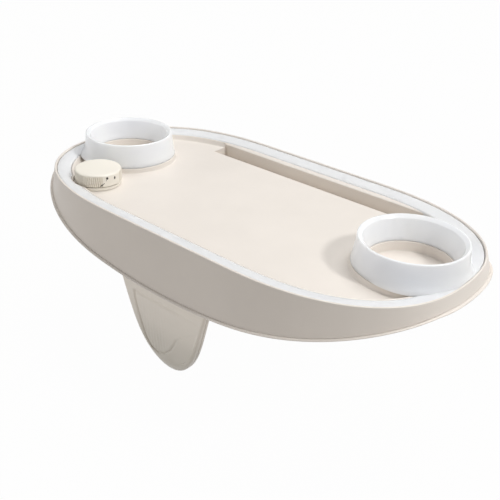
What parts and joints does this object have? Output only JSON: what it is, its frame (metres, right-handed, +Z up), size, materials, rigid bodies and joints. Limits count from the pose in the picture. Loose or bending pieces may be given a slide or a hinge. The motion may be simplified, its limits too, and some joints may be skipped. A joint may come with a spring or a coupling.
{
  "type": "hot tub tray",
  "caption": "Rounded hot tub tray with raised cup rings, a phone slot, a lit rim band, a switch knob and a tongue under its front edge that holds it to the tub wall.",
  "frame": {"origin": "centre of the flat pad on the rear face of the tongue, where the tray bears on the tub wall", "axes": "+X along the tray to its right end, +Y from the front edge to the phone slot, +Z up"},
  "size_m": [0.4932, 0.2616, 0.1737],
  "materials": {
    "beige_shell": "fine satin moulding",
    "frosted_diffuser": "frosted, milky",
    "cream_knob": "satin, ribbed",
    "lamp_strip": "satin",
    "circuit_board": "lacquered",
    "dark_plastic": "satin",
    "rubber": "matt",
    "cell_wrap": "gloss wrap",
    "steel": "bright"
  },
  "bodies": {
    "tray": {"battery_box": "dark_plastic", "battery_cell_1": "cell_wrap", "battery_cell_2": "cell_wrap", "battery_cell_3": "cell_wrap", "battery_contact_bridge_left": "steel", "battery_contact_bridge_right": "steel", "battery_contact_minus": "steel", "battery_contact_plus": "steel", "battery_lead": "rubber", "board_screw_1": "steel", "board_screw_2": "steel", "bottom_cover": "beige_shell", "bracket_screw_1": "steel", "bracket_screw_2": "steel", "bracket_screw_3": "steel", "bracket_screw_4": "steel", "cover_screw_1": "steel", "cover_screw_10": "steel", "cover_screw_2": "steel", "cover_screw_3": "steel", "cover_screw_4": "steel", "cover_screw_5": "steel", "cover_screw_6": "steel", "cover_screw_7": "steel", "cover_screw_8": "steel", "cover_screw_9": "steel", "knob_base": "cream_knob", "led_driver_board": "circuit_board", "led_strip": "lamp_strip", "light_diffuser": "frosted_diffuser", "strip_lead": "rubber", "switch_gasket": "rubber", "switch_housing": "dark_plastic", "switch_lead": "rubber", "switch_nut": "steel", "tongue_back": "beige_shell", "tongue_front": "beige_shell", "tongue_screw_1": "steel", "tongue_screw_2": "steel", "tongue_screw_3": "steel", "tray_body": "beige_shell"},
    "knob": {"switch_knob": "cream_knob", "switch_shaft": "steel"},
    "door": {"battery_door": "beige_shell", "door_gasket": "rubber", "door_screw_1": "steel", "door_screw_2": "steel", "door_screw_3": "steel", "door_screw_4": "steel"}
  },
  "joints": [
    {"name": "knob_turn", "type": "hinge", "parent": "tray", "child": "knob", "pos_m": [-0.14941, 0.03483, 0.1141], "axis": [0, 0, 1], "range_deg": [0, 90]},
    {"name": "battery_door_drop", "type": "slide", "parent": "tray", "child": "door", "axis": [0, 0, -1], "range_m": [0, 0.025]}
  ]
}
